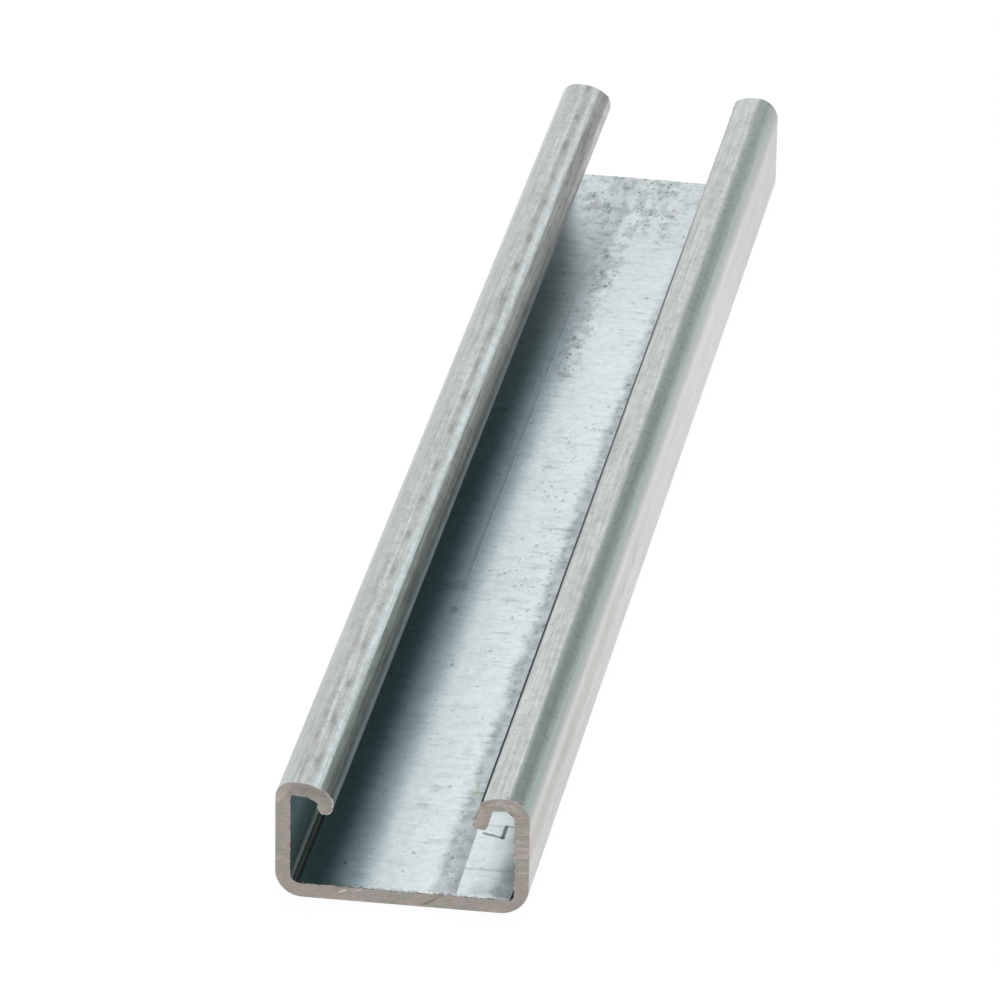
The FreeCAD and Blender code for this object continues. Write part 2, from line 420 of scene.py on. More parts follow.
def saw_ends(skin, cuts):
    """Leans both saw cuts out of square and leaves a burred rim round them."""
    mesh = skin.data
    places = rows(mesh.vertices, "co")
    on_cut = np.abs(places[:, 1]) > HALF_LENGTH - 0.01 * MM
    rim = np.zeros(len(mesh.vertices), bool)
    outwards = np.zeros((len(mesh.vertices), 3))
    for face in mesh.polygons:
        if face.material_index != SAWN:
            for v in face.vertices:
                if on_cut[v]:
                    rim[v] = True
                    outwards[v] += np.array(face.normal)
    lengths = np.linalg.norm(outwards, axis=1)
    lengths[lengths == 0] = 1
    outwards /= lengths[:, None]
    for k in np.nonzero(rim)[0]:
        places[k] += outwards[k] * edge_lift(*(places[k] / MM), cuts.burr)
    mesh.attributes.new("cut_edge", "FLOAT", "POINT").data.foreach_set("value", rim.astype(np.float32))
    for end, across, upright in (
        (-1, math.tan(cuts.near_cut_across), math.tan(cuts.near_cut_upright)),
        (1, math.tan(cuts.far_cut_across), math.tan(cuts.far_cut_upright)),
    ):
        reach = abs(across) * CAD_HIGH.x + abs(upright) * HEIGHT / 2
        lean = across * places[:, 0] + upright * (places[:, 2] - HEIGHT / 2)
        side = places[:, 1] * end > 0
        blend = np.clip((np.abs(places[:, 1]) - HALF_LENGTH) / (SAWN_REACH * MM) + 1, 0, 1)
        places[:, 1] += np.where(side, (lean - end * reach) * blend, 0)
    places = np.clip(places, np.array(CAD_LOW), np.array(CAD_HIGH))
    mesh.vertices.foreach_set("co", places.ravel())
    mesh.update()


def smooth_skin(skin):
    """Smooth shading with hard edges at the saw cuts."""
    only(skin)
    bpy.ops.object.shade_smooth_by_angle(angle=math.radians(40))
    weighted = skin.modifiers.new("even_faces", "WEIGHTED_NORMAL")
    weighted.keep_sharp = True
    weighted.weight = 80
    bpy.ops.object.modifier_apply(modifier=weighted.name)


# Building blocks for materials


class Graph:
    """Adds nodes to a tree in short lines."""

    def __init__(self, tree, groups=None):
        self.tree = tree
        self.groups = groups
        self.count = 0

    def node(self, kind, **settings):
        """One new node, set down in columns of six."""
        made = self.tree.nodes.new(kind)
        made.location = (180 * (self.count // 6), -220 * (self.count % 6))
        self.count += 1
        for name, value in settings.items():
            setattr(made, name, value)
        return made

    def feed(self, socket, value):
        """Links a socket or sets its value; colours are given without their alpha."""
        if isinstance(value, bpy.types.NodeSocket):
            self.tree.links.new(value, socket)
        elif socket.type == "RGBA":
            socket.default_value = (*value, 1)
        else:
            socket.default_value = value

    def fill(self, made, *values):
        """Feeds the first inputs of a node in their order."""
        for socket, value in zip(made.inputs, values):
            self.feed(socket, value)
        return made.outputs[0]

    def fill_named(self, kind, **values):
        """A new node with the inputs that are named."""
        made = self.node(kind)
        for name, value in values.items():
            self.feed(made.inputs[name], value)
        return made.outputs[0]

    def math(self, operation, *values, clamp=False):
        return self.fill(self.node("ShaderNodeMath", operation=operation, use_clamp=clamp), *values)

    def plus(self, first, second):
        return self.math("ADD", first, second)

    def minus(self, first, second):
        return self.math("SUBTRACT", first, second)

    def times(self, first, *others):
        for other in others:
            first = self.math("MULTIPLY", first, other)
        return first

    def either(self, first, second):
        return self.math("MAXIMUM", first, second)

    def less(self, value):
        return self.minus(1.0, value)

    def vector(self, operation, *values):
        made = self.node("ShaderNodeVectorMath", operation=operation)
        self.fill(made, *values)
        single = operation in ("DOT_PRODUCT", "DISTANCE", "LENGTH")
        return made.outputs["Value" if single else "Vector"]

    def scaled(self, vector, factors):
        return self.vector("MULTIPLY", vector, factors)

    def shifted(self, vector, offset):
        return self.vector("ADD", vector, offset)

    def axes(self, vector):
        made = self.node("ShaderNodeSeparateXYZ")
        self.fill(made, vector)
        return made.outputs

    def noise(self, vector, scale, detail=3.0, rough=0.55):
        values = {"Vector": vector, "Scale": scale, "Detail": detail, "Roughness": rough}
        return self.fill_named("ShaderNodeTexNoise", **values)

    def ramp(self, value, low, high):
        """Rises evenly from 0 at low to 1 at high."""
        return self.fill(self.node("ShaderNodeMapRange"), value, low, high)

    def step(self, value, low, high, start=0.0, end=1.0):
        """Goes from start at low to end at high, with soft ends."""
        made = self.node("ShaderNodeMapRange", interpolation_type="SMOOTHSTEP")
        return self.fill(made, value, low, high, start, end)

    def drop(self, value, low, high):
        """Falls from 1 at low to 0 at high, with soft ends."""
        return self.step(value, low, high, 1.0, 0.0)

    def colours(self, value, stops):
        """A colour for each stop along a value from 0 to 1, and blends between."""
        made = self.node("ShaderNodeValToRGB")
        self.feed(made.inputs[0], value)
        steps = made.color_ramp.elements
        while len(steps) < len(stops):
            steps.new(1.0)
        for step, (place, colour) in zip(steps, stops):
            step.position = place
            step.color = (*colour, 1)
        return made.outputs[0]

    def cover(self, colour, mask, other, share=1.0, blend="MIX"):
        """Lays another colour over the first where the mask is on, up to a share."""
        if share < 1:
            mask = self.times(mask, share)
        made = self.node("ShaderNodeMix", data_type="RGBA", blend_type=blend)
        for socket, value in zip(COLOUR_MIX_INPUTS, (mask, colour, other)):
            self.feed(made.inputs[socket], value)
        return made.outputs[COLOUR_MIX_OUTPUT]

    def tint(self, colour, mask, factors, share=1.0):
        """Multiplies a colour where the mask is on, up to a share."""
        return self.cover(colour, mask, factors, share, "MULTIPLY")

    def bump(self, height, strength, distance, **others):
        values = {"Height": height, "Strength": strength, "Distance": distance, **others}
        return self.fill_named("ShaderNodeBump", **values)

    def cut_edge(self):
        """1 along the rim of a saw cut, from the skin's own attribute."""
        return self.node("ShaderNodeAttribute", attribute_name="cut_edge").outputs["Fac"]

    def use(self, name, *values):
        """A shared mask with its first inputs fed in their order."""
        made = self.node("ShaderNodeGroup")
        made.node_tree = self.groups[name]
        return self.fill(made, *values)


def new_group(groups, name, **inputs):
    """Adds an empty mask to the groups; an input without a value is a vector."""
    tree = bpy.data.node_groups.new(name, "ShaderNodeTree")
    for label, default in inputs.items():
        kind = "NodeSocketVector" if default is None else "NodeSocketFloat"
        socket = tree.interface.new_socket(name=label, in_out="INPUT", socket_type=kind)
        if default is not None:
            socket.default_value = default
    tree.interface.new_socket(name="Mask", in_out="OUTPUT", socket_type="NodeSocketFloat")
    groups[name] = tree
    graph = Graph(tree)
    entry = graph.node("NodeGroupInput")
    leave = graph.node("NodeGroupOutput")
    return graph, entry.outputs, leave.inputs[0]


def make_groups():
    """The masks that the materials share, from 0 to 1."""
    groups = {}

    # A band between two limits
    g, have, out = new_group(groups, "band", Value=0.0, Start=0.0, End=1.0, Soft=0.1)
    value, start, end, soft = list(have)[:4]
    rise = g.step(value, g.minus(start, soft), g.plus(start, soft))
    g.feed(out, g.times(rise, g.drop(value, g.minus(end, soft), g.plus(end, soft))))

    # Long streaks of noise
    g, have, out = new_group(groups, "streaks", Place=None, Stretch=None, Low=0.3, High=0.7)
    grain = g.noise(g.scaled(have["Place"], have["Stretch"]), 1.0, 5.0, 0.6)
    g.feed(out, g.step(grain, have["Low"], have["High"]))

    # Round specks of mixed sizes, in a share of all places
    g, have, out = new_group(groups, "specks", Place=None, Spacing=2.0, Size=0.2, Share=0.5)
    wobble = g.noise(have["Place"], 2.2, 2.0)
    bent = g.shifted(have["Place"], g.scaled(wobble, (0.8, 0.8, 0.8)))
    cells = g.node("ShaderNodeTexVoronoi")
    g.feed(cells.inputs["Vector"], bent)
    g.feed(cells.inputs["Scale"], g.math("DIVIDE", 1.0, have["Spacing"]))
    pick = g.node("ShaderNodeSeparateColor")
    g.feed(pick.inputs[0], cells.outputs["Color"])
    size = g.times(have["Size"], g.plus(0.35, pick.outputs["Green"]))
    spot = g.drop(cells.outputs["Distance"], g.times(size, 0.5), size)
    g.feed(out, g.times(spot, g.math("LESS_THAN", pick.outputs["Red"], have["Share"])))

    # Blotches of about one width
    g, have, out = new_group(groups, "blotches", Place=None, Width=5.0, Low=0.5, High=0.6)
    cloud = g.noise(have["Place"], g.math("DIVIDE", 1.0, have["Width"]), 6.0, 0.65)
    g.feed(out, g.step(cloud, have["Low"], have["High"]))

    # One spot with a frayed edge
    g, have, out = new_group(groups, "spot", Place=None, Centre=None, Reach=None, Fray=0.5)
    away = g.vector("DIVIDE", g.vector("SUBTRACT", have["Place"], have["Centre"]), have["Reach"])
    fray = g.times(g.minus(g.noise(have["Place"], 0.5, 4.0, 0.6), 0.5), have["Fray"], 2.0)
    g.feed(out, g.drop(g.plus(g.vector("LENGTH", away), fray), 0.45, 1.0))

    # One straight stroke
    g, have, out = new_group(groups, "stroke", Place=None, From=None, To=None, Width=0.2)
    run = g.vector("SUBTRACT", have["To"], have["From"])
    away = g.vector("SUBTRACT", have["Place"], have["From"])
    whole = g.vector("DOT_PRODUCT", run, run)
    share = g.math("DIVIDE", g.vector("DOT_PRODUCT", away, run), whole, clamp=True)
    gap = g.vector("DISTANCE", away, g.scaled(run, share))
    g.feed(out, g.drop(gap, g.times(have["Width"], 0.2), g.times(have["Width"], 0.6)))
    return groups


def fresh_graph(owner, groups=None):
    """The graph of a material or a world, emptied of its first nodes."""
    owner.use_nodes = True
    owner.node_tree.nodes.clear()
    return Graph(owner.node_tree, groups)


def new_material(name, groups, metallic):
    """A material with one Principled shader, its graph and its place in millimetres."""
    material = bpy.data.materials.new(name)
    g = fresh_graph(material, groups)
    leave = g.node("ShaderNodeOutputMaterial")
    shader = g.node("ShaderNodeBsdfPrincipled")
    shader.inputs["Metallic"].default_value = metallic
    g.feed(leave.inputs["Surface"], shader.outputs[0])
    place = g.scaled(g.node("ShaderNodeTexCoord").outputs["Object"], (1 / MM, 1 / MM, 1 / MM))
    return material, g, shader, place


def relief(g, place, height, strength):
    """Slow swells of the sheet with the fine height of the finish on top."""
    swell = g.bump(g.noise(g.scaled(place, (0.12, 0.18, 0.12)), 1.0, 2.0), 1.0, RELIEF_DEPTH)
    return g.bump(height, strength, RELIEF_DEPTH, Normal=swell)


def coat(g, shader, colour, rough, normal):
    """Feeds the shader the looks of one material."""
    for name, value in (("Base Color", colour), ("Roughness", rough), ("Normal", normal)):
        g.feed(shader.inputs[name], value)


def web_material(finish, groups):
    """Rolled web: smears and lines across it, specks, stains, a grey strip by the right lip."""
    material, g, shader, place = new_material("web_zinc", groups, 1.0)
    x, y = g.axes(place)[:2]
    stretched = g.scaled(place, (1.2, 0.6, 1.0))

    # Cloudiness and fine grain; painted reflection of the dark left wall, darkest beside it with
    # lighter bands further out, fading towards the far end; darker at the far end and along a band
    # past the middle
    colour = g.tint(finish.zinc, g.use("blotches", place, 9.0, 0.35, 0.65), (0.92, 0.925, 0.93), 0.6)
    grain = g.noise(g.scaled(place, (1.0, 0.7, 1.0)), 2.6, 4.0, 0.7)
    colour = g.tint(colour, g.step(grain, 0.38, 0.66), (0.9, 0.905, 0.905), 0.7)
    wander = g.plus(x, g.times(g.noise(g.scaled(place, (0.2, 0.45, 1.0)), 1.0, 3.0), 1.6))
    shade = g.colours(
        g.ramp(wander, -16.2, -2.2),
        (
            (0.0, (0.42, 0.58, 0.56)),
            (0.14, (0.42, 0.6, 0.58)),
            (0.26, (0.4, 0.62, 0.67)),
            (0.33, (0.54, 0.76, 0.8)),
            (0.39, (0.72, 0.94, 0.99)),
            (0.49, (0.94, 1.1, 1.15)),
            (0.56, (0.88, 1.03, 1.07)),
            (0.67, (0.84, 0.94, 1.01)),
            (0.76, (0.9, 0.97, 1.01)),
            (0.82, (0.99, 1.02, 1.04)),
            (0.9, (1.07, 1.07, 1.08)),
            (1.0, (1.03, 1.03, 1.03)),
        ),
    )
    colour = g.tint(colour, g.step(y, 10.0, 150.0, 1.0, 0.05), shade)
    colour = g.tint(colour, g.step(y, 60.0, 140.0), (0.9, 0.89, 0.885))
    darker_mid_band = g.times(g.use("band", wander, -9.4, -4.9, 0.9), g.step(y, 45.0, 85.0))
    colour = g.tint(colour, darker_mid_band, (0.84, 0.845, 0.85))

    # Smears and fine lines across
    smears = g.use("streaks", place, (0.22, 0.62, 0.3), 0.49, 0.68)
    patches = g.use("blotches", g.scaled(place, (0.8, 0.3, 1.0)), 5.0, 0.44, 0.62)
    colour = g.tint(colour, g.times(smears, g.either(patches, 0.45)), (0.74, 0.77, 0.78))
    hair = g.use("streaks", place, (0.22, 1.7, 0.3), 0.55, 0.72)
    open_part = g.step(x, -12.0, -5.0, 0.4, 0.8)
    colour = g.tint(colour, g.times(hair, g.either(patches, 0.35), open_part), (0.74, 0.78, 0.79))

    # Specks, most of them in patches
    thick = g.use("blotches", place, 8.0, 0.44, 0.6)
    busy = g.use("spot", place, (2.0, -12.0, WEB_TOP), (7.0, 75.0, 9.0), 0.9)
    fine = g.use("specks", stretched, 1.05, 0.28, 0.55)
    pits = g.times(fine, g.either(g.either(g.times(thick, 0.55), g.times(busy, 0.9)), 0.12))
    colour = g.tint(colour, pits, (0.46, 0.51, 0.52), 0.9)
    large = g.use("specks", g.shifted(stretched, (7, 3, 0)), 3.0, 0.13, 0.4)
    colour = g.tint(colour, large, (0.44, 0.47, 0.47), 0.85)
    wide = g.use("specks", g.shifted(stretched, (23, 61, 0)), 1.9, 0.28, 0.45)
    colour = g.tint(colour, g.times(wide, busy), (0.6, 0.63, 0.63), 0.8)
    bumpy = g.scaled(g.shifted(place, (3, 0, 8)), (1.0, 0.6, 1.0))
    bumpy = g.use("blotches", bumpy, 1.5, 0.4, 0.62)
    colour = g.tint(colour, bumpy, (0.9, 0.905, 0.905), 0.75)

    # Stains towards the far end
    far = 0.0
    for centre, reach in (
        ((-5.4, 72.0), (3.2, 27.0)),
        ((-5.5, 108.0), (4.0, 24.0)),
        ((-4.0, 139.0), (14.0, 26.0)),
    ):
        far = g.either(far, g.use("spot", place, (*centre, WEB_TOP), (*reach, 9.0), 0.9))
    soiled = g.scaled(g.shifted(place, (31, 5, 0)), (1.0, 0.42, 1.0))
    mottle = g.use("blotches", soiled, 2.2, 0.46, 0.57)
    colour = g.tint(colour, g.times(far, mottle), (0.74, 0.755, 0.745), 0.85)
    soiled = g.scaled(g.shifted(place, (5, 40, 0)), (1.0, 0.5, 1.0))
    rusty = g.use("blotches", soiled, 4.0, 0.52, 0.62)
    colour = g.tint(colour, g.times(far, rusty), (0.83, 0.79, 0.76), 0.8)
    dots = g.use("specks", g.shifted(stretched, (17, 3, 0)), 1.0, 0.38, 0.55)
    colour = g.tint(colour, g.times(far, dots), (0.4, 0.43, 0.43), 0.9)
    clots = g.use("specks", g.shifted(stretched, (5, 90, 0)), 2.1, 0.3, 0.4)
    colour = g.tint(colour, g.times(far, clots), (0.5, 0.53, 0.53), 0.85)

    # A grey strip beside the right lip: ragged and soft inwards, straight outwards
    rag = g.noise(g.scaled(place, (0.42, 0.3, 1.0)), 1.0, 6.0, 0.72)
    later = g.times(g.either(g.minus(y, 10.0), 0.0), 0.011)
    drift = g.plus(g.times(g.plus(y, 110.0), 0.0045), later)
    fringe = g.minus(g.plus(x, g.times(rag, 4.4)), drift)
    straight = g.plus(x, g.times(g.math("MINIMUM", y, -90.0), 0.0117))
    strip = g.times(g.step(fringe, 6.1, 8.1), g.drop(straight, 6.95, 7.05))
    strip = g.times(strip, g.drop(y, 80.0, 125.0))
    colour = g.tint(colour, strip, (0.78, 0.785, 0.775))
    worn = g.use("blotches", g.shifted(stretched, (3, 60, 0)), 2.0, 0.42, 0.6)
    colour = g.tint(colour, g.times(strip, worn), (0.72, 0.745, 0.725), 0.9)
    smut = g.use("specks", g.shifted(stretched, (3, 8, 0)), 1.7, 0.28, 0.6)
    colour = g.tint(colour, g.times(strip, smut), (0.56, 0.58, 0.57), 0.8)
    cast = g.use("blotches", g.shifted(place, (70, 0, 0)), 3.5, 0.42, 0.62)
    colour = g.tint(colour, g.times(strip, cast), (0.99, 0.96, 0.98), 0.9)
    brink = g.times(g.use("band", straight, 6.0, 7.0, 0.5), g.drop(y, -120.0, -90.0), strip)
    colour = g.tint(colour, brink, (0.8, 0.79, 0.8), 0.9)

    # Thin lines rubbed along the web, and stains of their own
    sway = g.plus(x, g.times(g.noise(g.scaled(place, (0.1, 0.03, 1.0)), 1.0, 2.0), 0.5))
    along = g.use("band", y, -45.0, 85.0, 18.0)
    broken = g.use("streaks", place, (0.6, 0.1, 0.3), 0.34, 0.54)
    for start, end, share, factors in (
        (-8.7, -8.3, 0.75, (0.66, 0.72, 0.76)),
        (-8.2, -7.95, 0.7, (1.14, 1.13, 1.11)),
        (-7.9, -7.7, 0.55, (0.76, 0.81, 0.83)),
        (-9.45, -9.1, 0.5, (1.2, 1.18, 1.16)),
        (-9.95, -9.75, 0.45, (0.8, 0.84, 0.87)),
    ):
        rubbed = g.times(g.use("band", sway, start, end, 0.16), along, broken)
        colour = g.tint(colour, rubbed, factors, share)
    for centre, reach, shade in (
        ((-9.8, -35.2), (3.2, 2.4), (0.72, 0.78, 0.8)),
        ((-9.1, -44.6), (1.0, 1.8), (0.66, 0.72, 0.75)),
        ((6.4, -113.0), (0.8, 2.4), (0.8, 0.88, 0.7)),
        ((12.0, -146.5), (2.2, 2.6), (0.8, 0.82, 0.84)),
        ((15.6, -139.5), (2.0, 7.5), (0.76, 0.79, 0.82)),
        ((15.2, -147.0), (1.6, 2.6), (0.62, 0.64, 0.67)),
    ):
        mark = g.use("spot", place, (*centre, WEB_TOP), (*reach, 6.0), 0.8)
        colour = g.tint(colour, mark, shade, 0.85)

    # Scratches: a kinked one behind the right lip and fine ones across
    bent = g.shifted(place, g.scaled(g.noise(place, 0.9, 3.0), (0.35, 0.7, 0.0)))
    for begin, end, wide, shade in (
        ((9.9, -126.5), (13.1, -127.7), 0.85, 0.3),
        ((13.1, -127.7), (13.05, -123.4), 0.78, 0.2),
        ((13.05, -123.4), (14.3, -123.6), 0.6, 0.46),
        ((8.9, -139.4), (16.0, -139.2), 1.0, 0.8),
        ((10.0, -123.6), (15.0, -123.5), 0.9, 0.8),
        ((-2.5, -46.7), (5.6, -46.4), 0.9, 0.88),
        ((-1.0, -38.3), (2.5, -38.4), 1.9, 0.9),
        ((0.0, -25.2), (5.8, -25.0), 0.8, 0.88),
        ((1.2, -8.7), (5.8, -8.8), 0.9, 0.86),
    ):
        mark = g.use("stroke", bent, (*begin, WEB_TOP), (*end, WEB_TOP), wide)
        colour = g.tint(colour, mark, (shade, shade * 1.02, shade * 1.03))

    # Soot and flakes along the saw cut
    edge = g.cut_edge()
    close = g.drop(g.minus(y, g.times(x, NEAR_CUT_SLOPE)), -149.6, -148.6)
    crumbs = g.noise(g.scaled(place, (1.0, 0.6, 1.0)), 1.9, 3.0, 0.6)
    colour = g.tint(colour, g.times(close, g.step(crumbs, 0.46, 0.6)), (0.42, 0.42, 0.41), 0.8)
    colour = g.cover(colour, g.times(edge, g.step(crumbs, 0.42, 0.54)), (0.08, 0.08, 0.075), 0.8)
    colour = g.cover(colour, g.times(close, g.drop(crumbs, 0.44, 0.5)), (0.93, 0.94, 0.94), 0.8)

    rough = g.plus(0.27, g.times(grain, 0.1))
    rough = g.plus(rough, g.times(g.either(g.times(far, mottle), strip), 0.1))
    height = g.plus(g.times(grain, 0.5), g.times(g.less(g.either(pits, large)), 0.5))
    coat(g, shader, colour, rough, relief(g, place, height, 0.2))
    return material


def outside_material(finish, groups):
    """Outside of the channel: rubbed lip tops, painted dark reflection on the shoulders, plain walls.
    """
    material, g, shader, place = new_material("outside_zinc", groups, 1.0)
    x, y, z = g.axes(place)
    width = g.math("ABSOLUTE", x)
    lips = g.step(z, 18.7, 18.9)
    tops = g.times(lips, g.drop(x, 17.0, 17.5), g.step(x, -18.6, -17.4, 0.5, 1.0))
    left_top = g.times(lips, g.drop(x, -1.0, 1.0))
    right = g.step(x, -1.0, 1.0)
    walls = g.step(width, 19.6, 20.5)

    # Right shoulder: painted dark reflection from the lip's brink, paling down the wall; way is
    # measured round it
    beyond = g.either(g.minus(width, 16.75), 0.0)
    over = g.either(g.minus(z, 16.7), 0.001)
    way = g.times(g.math("ARCTAN2", beyond, over), 3.9)
    way = g.plus(way, g.either(g.minus(16.7, z), 0.0))
    sway = g.times(g.minus(g.noise(g.scaled(place, (1.0, 0.05, 1.0)), 1.0, 3.0), 0.5), 0.5)
    bend_reflection = Vector(finish.painted_bend_reflection)
    shoulder = g.colours(
        g.times(g.plus(way, sway), 0.1),
        (
            (0.02, finish.lip_zinc),
            (0.052, (0.42, 0.46, 0.46)),
            (0.09, bend_reflection * 1.26),
            (0.14, bend_reflection * 1.12),
            (0.21, bend_reflection * 0.96),
            (0.26, bend_reflection * 1.1),
            (0.31, bend_reflection * 1.4),
            (0.38, bend_reflection * 1.85),
            (0.46, (0.44, 0.495, 0.485)),
            (0.55, (0.51, 0.545, 0.53)),
            (0.62, (0.6, 0.63, 0.61)),
            (0.7, (0.7, 0.72, 0.7)),
            (0.78, (0.75, 0.755, 0.735)),
            (0.92, finish.wall_zinc),
        ),
    )
    plain = g.cover(finish.lip_zinc, walls, finish.wall_zinc)
    share = g.times(right, g.step(y, -80.0, 150.0, 1.0, 0.8))
    colour = g.cover(plain, g.either(share, 0.15), shoulder)

    # Rolled streaks, scratches and grain, with painted sheen and glints on the lip tops
    grain = g.noise(g.scaled(place, (1.0, 0.6, 1.0)), 2.2, 4.0, 0.7)
    colour = g.tint(colour, g.step(grain, 0.4, 0.64), (0.9, 0.895, 0.89), 0.7)
    rub = g.use("streaks", place, (1.7, 0.03, 1.7), 0.36, 0.66)
    colour = g.tint(colour, rub, (0.84, 0.83, 0.825), 0.7)
    wisps = g.use("streaks", place, (2.6, 0.055, 2.6), 0.46, 0.6)
    colour = g.tint(colour, g.times(wisps, tops), (0.86, 0.86, 0.855), 0.9)
    # Painted sheen in long gleams and painted glints in short dashes on the lip tops
    gleams = g.use("streaks", g.shifted(place, (20, 7, 3)), (3.4, 0.09, 3.4), 0.48, 0.64)
    colour = g.tint(colour, g.times(gleams, tops), (1.15, 1.165, 1.165), 0.8)
    glinting_nicks = g.use("streaks", g.shifted(place, (50, 9, 20)), (4.0, 0.4, 4.0), 0.64, 0.71)
    colour = g.tint(colour, g.times(glinting_nicks, tops), (1.34, 1.35, 1.35), 0.7)
    mottled = g.scaled(g.shifted(place, (9, 9, 9)), (1.0, 0.6, 1.0))
    clouds = g.use("blotches", mottled, 1.5, 0.44, 0.6)
    colour = g.tint(colour, g.times(clouds, tops), (0.85, 0.845, 0.84), 0.8)
    bits = g.use("specks", g.scaled(place, (1.1, 0.6, 1.1)), 1.1, 0.22, 0.5)
    colour = g.tint(colour, g.times(bits, tops), (0.6, 0.59, 0.58), 0.7)
    turned = g.times(g.use("band", way, 0.5, 3.6, 0.4), right)
    pocks = g.use("blotches", g.shifted(mottled, (0, 30, 0)), 0.9, 0.46, 0.62)
    colour = g.tint(colour, g.times(turned, pocks), (0.8, 0.81, 0.81), 0.8)

    # Left lip: brown stripe, painted highlight line, painted shade along a groove with smudges at the
    # rolls' pitch, painted highlight at the slot edge and along the wall's top
    wander = g.plus(x, g.times(g.noise(g.scaled(place, (0.3, 0.12, 0.3)), 1.0, 4.0), 0.5))
    stripe = g.times(g.use("band", wander, -17.0, -16.35, 0.2), g.drop(y, -95.0, -35.0), left_top)
    colour = g.tint(colour, stripe, (0.84, 0.785, 0.755), 0.95)
    # Painted highlight line
    bright = g.times(g.use("band", wander, -16.05, -15.7, 0.12), left_top)
    colour = g.tint(colour, bright, (1.1, 1.11, 1.11), 0.6)
    # Painted shade along the groove, stronger towards the far end
    groove_shade = g.times(g.use("band", wander, -15.6, -14.5, 0.35), left_top)
    groove_shade = g.times(groove_shade, g.step(y, -90.0, 60.0, 0.4, 1.0))
    colour = g.tint(colour, groove_shade, (0.8, 0.795, 0.79))
    drawn_out = g.scaled(g.shifted(place, (0, 77, 0)), (0.9, 0.16, 0.9))
    stained = g.use("blotches", drawn_out, 1.0, 0.48, 0.64)
    stained = g.times(stained, g.use("band", wander, -17.6, -14.4, 0.6), left_top)
    colour = g.tint(colour, stained, (0.87, 0.85, 0.84), 0.7)
    ragged = g.noise(g.scaled(place, (1.1, 0.3, 1.1)), 1.0, 4.0, 0.65)
    ragged = g.times(g.minus(ragged, 0.5), 9.0)
    pitch = g.plus(g.math("PINGPONG", g.plus(y, 148.5), 7.25), ragged)
    smudge = g.times(g.step(pitch, 3.6, 7.4), g.use("band", wander, -15.5, -14.75, 0.45))
    colour = g.tint(colour, g.times(smudge, left_top), (0.66, 0.65, 0.64), 0.95)
    # Painted highlight at the slot edge, weaker at the far end; painted shade where the top turns down
    # into the curl, weaker at the near end
    pale = g.times(g.use("band", wander, -14.15, -13.5, 0.2), left_top)
    colour = g.tint(colour, g.times(pale, g.step(y, 60.0, 140.0, 1.0, 0.4)), (1.1, 1.155, 1.15))
    brow = g.times(g.step(wander, -13.55, -13.05), g.step(y, -110.0, -10.0, 0.3, 1.0))
    colour = g.tint(colour, g.times(brow, left_top), (0.78, 0.79, 0.79))
    # Painted highlight along the top of the left wall's outside, brighter again at the far end
    upper = g.step(z, 15.5, 18.0)
    colour = g.tint(colour, g.times(g.drop(x, -20.4, -19.7), upper), (1.2, 1.18, 1.18))
    later = g.times(g.drop(x, -20.3, -19.2), upper, g.step(y, 50.0, 120.0))
    colour = g.tint(colour, later, (1.22, 1.22, 1.22))

    # Right lip: painted shade where it turns down into the slot, fading out at the far end
    brink = g.times(g.use("band", x, 11.0, 13.1, 0.2), tops)
    brink = g.times(brink, g.step(y, -115.0, 110.0, 1.0, 0.1))
    colour = g.tint(colour, brink, (0.82, 0.85, 0.85))

    # Walls: a pinkish band where the coil rubbed, a darker foot, small marks
    near = g.drop(y, -120.0, 20.0)
    colour = g.tint(colour, g.times(g.either(near, g.step(y, 60.0, 120.0)), walls), (0.9, 0.905, 0.9))
    clouded = g.use("blotches", g.scaled(place, (1.0, 0.5, 1.0)), 7.0, 0.4, 0.64)
    colour = g.tint(colour, g.times(clouded, walls), (0.93, 0.925, 0.92), 0.7)
    coil = g.times(g.use("band", z, 9.6, 13.9, 1.2), g.plus(0.2, g.times(near, 0.8)))
    colour = g.tint(colour, g.times(coil, walls), (0.81, 0.795, 0.785))
    colour = g.tint(colour, g.times(g.drop(z, 6.0, 10.0), walls), (0.95, 0.955, 0.96))
    for centre, reach in (
        ((-113.5, 11.4), (4.6, 1.7)),
        ((-35.0, 11.0), (5.0, 1.6)),
        ((-47.0, 10.4), (5.0, 1.2)),
        ((12.0, 12.4), (7.0, 0.9)),
    ):
        mark = g.use("spot", place, (OUTER_WALL, *centre), (3.0, *reach), 0.9)
        colour = g.tint(colour, mark, (0.84, 0.83, 0.82), 0.7)

    # Painted highlight in broken bits along the rim of the cut
    edge = g.cut_edge()
    rim_glints = g.step(g.noise(place, 1.6, 2.0), 0.46, 0.6)
    colour = g.cover(colour, g.times(edge, rim_glints), (0.86, 0.86, 0.85), 0.7)

    rough = g.plus(0.32, g.times(grain, 0.12))
    height = g.plus(g.times(grain, 0.5), g.times(g.either(rub, g.times(wisps, 0.7)), 0.5))
    coat(g, shader, colour, rough, relief(g, place, height, 0.3))
    return material


